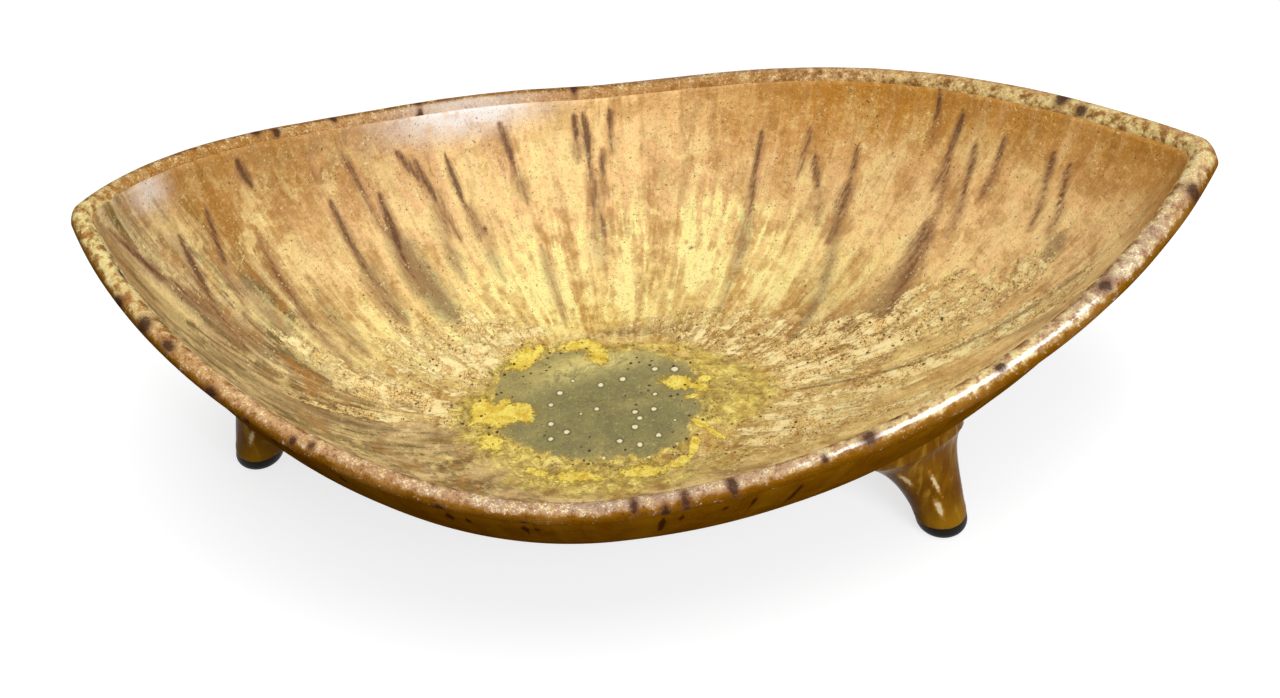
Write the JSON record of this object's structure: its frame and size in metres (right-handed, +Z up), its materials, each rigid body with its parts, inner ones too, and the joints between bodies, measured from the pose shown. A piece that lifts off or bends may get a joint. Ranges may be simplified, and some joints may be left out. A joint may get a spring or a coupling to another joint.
{
  "type": "tripod bowl",
  "caption": "Leaf-shaped glazed stoneware bowl with raised pointed ends, a rolled lip, a pool of melted glass inside and tapered legs with bare dark feet.",
  "frame": {"origin": "on the table plane, under the centre of the bowl's bounding box", "axes": "+X along the long axis to the longer, lower end; +Y to the far long side; +Z up"},
  "size_m": [0.383, 0.2344, 0.1271],
  "materials": {
    "amber_glaze": "satin glaze, streaked",
    "tan_glaze": "satin glaze, speckled",
    "pool_glass": "gloss, melted glass fused into the glaze",
    "brown_glaze": "gloss glaze",
    "dark_clay": "bare matt clay"
  },
  "bodies": {
    "root": {"bowl_body": "amber_glaze", "rim_coil": "tan_glaze", "glass_pool": "pool_glass", "leg_left": "brown_glaze", "leg_front_right": "brown_glaze", "leg_back_right": "brown_glaze", "foot_tip_left": "dark_clay", "foot_tip_front_right": "dark_clay", "foot_tip_back_right": "dark_clay"}
  },
  "joints": []
}
